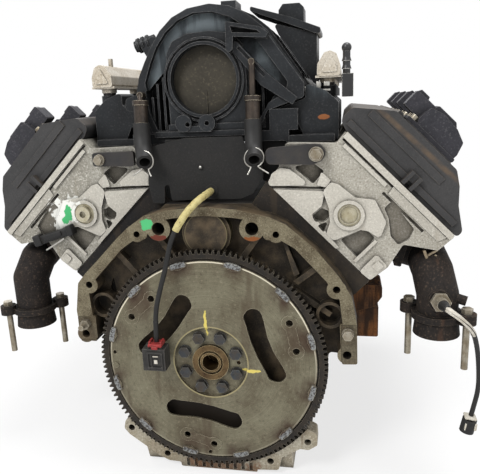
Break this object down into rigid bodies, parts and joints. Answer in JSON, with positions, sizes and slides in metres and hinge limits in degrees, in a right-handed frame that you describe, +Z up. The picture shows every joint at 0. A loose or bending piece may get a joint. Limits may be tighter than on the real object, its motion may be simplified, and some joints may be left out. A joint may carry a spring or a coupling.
{
  "type": "v8 engine",
  "caption": "Complete V engine on its sump, with heads, covers, coils, plastic intake, fuel rails, exhaust manifolds, flexplate and ring gear, crank damper and water pump.",
  "frame": {"origin": "crankshaft axis at the mouth of its pilot bore, at the rear of the engine", "axes": "+Y along the crankshaft to the front of the engine, +Z up between the banks, +X to the right seen from behind"},
  "size_m": [0.711, 0.7222, 0.668],
  "materials": {
    "block_iron": "as cast, oil stained",
    "head_alloy": "as cast",
    "front_alloy": "as cast",
    "pan_alloy": "as cast, oil stained",
    "cover_plastic": "moulded",
    "disc_olive": "dusty",
    "shield_black": "matte",
    "rail_metal": "satin",
    "hose_rubber": "worn",
    "ferrule_bronze": "tarnished",
    "spring_steel": "bright",
    "bolt_steel": "dark",
    "exhaust_iron": "heat stained",
    "plate_steel": "mottled",
    "gear_steel": "black oiled",
    "shaft_steel": "rust tinted",
    "pulley_iron": "painted black",
    "piston_alloy": "machined"
  },
  "bodies": {
    "engine": {"cam_core_plug": "shaft_steel", "cover_and_bracket_bolts": "bolt_steel", "dipstick_tube": "ferrule_bronze", "engine_block": "block_iron", "engine_mount_brackets": "shield_black", "exhaust_studs": "bolt_steel", "fuel_injectors": "cover_plastic", "fuel_rails": "rail_metal", "gaskets": "spring_steel", "harness_connector": "hose_rubber", "harness_lead": "hose_rubber", "head_plugs": "spring_steel", "heater_hoses": "hose_rubber", "heater_tubes": "ferrule_bronze", "hose_clamps": "spring_steel", "ignition_coils": "cover_plastic", "intake_manifold": "cover_plastic", "intake_plenum": "cover_plastic", "left_cylinder_head": "head_alloy", "left_exhaust_manifold": "exhaust_iron", "left_valve_cover": "cover_plastic", "main_bearing_caps": "block_iron", "map_sensor": "cover_plastic", "oil_filter": "shield_black", "oil_pan": "pan_alloy", "oil_pan_bolts": "bolt_steel", "oxygen_sensors": "spring_steel", "pipe_bracket_arms": "shield_black", "plenum_end_disc": "disc_olive", "purge_canister": "cover_plastic", "rear_valley_shield": "shield_black", "right_cylinder_head": "head_alloy", "right_exhaust_manifold": "exhaust_iron", "right_valve_cover": "cover_plastic", "sensor_lead": "hose_rubber", "sensor_lead_end": "spring_steel", "throttle_body": "front_alloy", "timing_chain": "gear_steel", "timing_cover": "front_alloy", "water_pump_housing": "front_alloy"},
    "crank": {"crankshaft": "shaft_steel", "crank_sprocket": "gear_steel", "flexplate": "plate_steel", "ring_gear": "gear_steel", "flexplate_bolts": "bolt_steel", "crank_damper": "pulley_iron"},
    "cam": {"camshaft": "shaft_steel", "cam_sprocket": "gear_steel"},
    "throttle": {"throttle_plate": "spring_steel"},
    "water_pump_rotor": {"water_pump_pulley": "pulley_iron"},
    "dipstick": {"dipstick": "spring_steel"},
    "oil_filler_cap": {"oil_filler_cap": "cover_plastic"},
    "left_piston_1": {"left_piston_1": "piston_alloy"},
    "left_piston_2": {"left_piston_2": "piston_alloy"},
    "left_piston_3": {"left_piston_3": "piston_alloy"},
    "left_piston_4": {"left_piston_4": "piston_alloy"},
    "right_piston_1": {"right_piston_1": "piston_alloy"},
    "right_piston_2": {"right_piston_2": "piston_alloy"},
    "right_piston_3": {"right_piston_3": "piston_alloy"},
    "right_piston_4": {"right_piston_4": "piston_alloy"}
  },
  "joints": [
    {"name": "crank_spin", "type": "hinge", "parent": "engine", "child": "crank", "pos_m": [0, 0, 0], "axis": [0, 1, 0], "continuous": true},
    {"name": "cam_spin", "type": "hinge", "parent": "engine", "child": "cam", "pos_m": [0, 0, 0.184], "axis": [0, 1, 0], "continuous": true},
    {"name": "water_pump_spin", "type": "hinge", "parent": "engine", "child": "water_pump_rotor", "pos_m": [0, 0.62, 0.186], "axis": [0, 1, 0], "continuous": true},
    {"name": "throttle_turn", "type": "hinge", "parent": "engine", "child": "throttle", "pos_m": [0.005, 0.522, 0.4], "axis": [1, 0, 0], "range_deg": [0, 85]},
    {"name": "dipstick_pull", "type": "slide", "parent": "engine", "child": "dipstick", "axis": [0, 0, 1], "range_m": [0, 0.14]},
    {"name": "filler_cap_turn", "type": "hinge", "parent": "engine", "child": "oil_filler_cap", "pos_m": [0.29557, 0.376, 0.30688], "axis": [0.7071, 0, 0.7071], "range_deg": [0, 90]},
    {"name": "left_piston_1_slide", "type": "slide", "parent": "engine", "child": "left_piston_1", "axis": [-0.7071, 0, 0.7071], "range_m": [-0.046, 0.046]},
    {"name": "left_piston_2_slide", "type": "slide", "parent": "engine", "child": "left_piston_2", "axis": [-0.7071, 0, 0.7071], "range_m": [-0.046, 0.046]},
    {"name": "left_piston_3_slide", "type": "slide", "parent": "engine", "child": "left_piston_3", "axis": [-0.7071, 0, 0.7071], "range_m": [-0.046, 0.046]},
    {"name": "left_piston_4_slide", "type": "slide", "parent": "engine", "child": "left_piston_4", "axis": [-0.7071, 0, 0.7071], "range_m": [-0.046, 0.046]},
    {"name": "right_piston_1_slide", "type": "slide", "parent": "engine", "child": "right_piston_1", "axis": [0.7071, 0, 0.7071], "range_m": [-0.046, 0.046]},
    {"name": "right_piston_2_slide", "type": "slide", "parent": "engine", "child": "right_piston_2", "axis": [0.7071, 0, 0.7071], "range_m": [-0.046, 0.046]},
    {"name": "right_piston_3_slide", "type": "slide", "parent": "engine", "child": "right_piston_3", "axis": [0.7071, 0, 0.7071], "range_m": [-0.046, 0.046]},
    {"name": "right_piston_4_slide", "type": "slide", "parent": "engine", "child": "right_piston_4", "axis": [0.7071, 0, 0.7071], "range_m": [-0.046, 0.046]}
  ],
  "couplings": [
    {"joint": "cam_spin", "follows": "crank_spin", "ratio": 0.5}
  ]
}
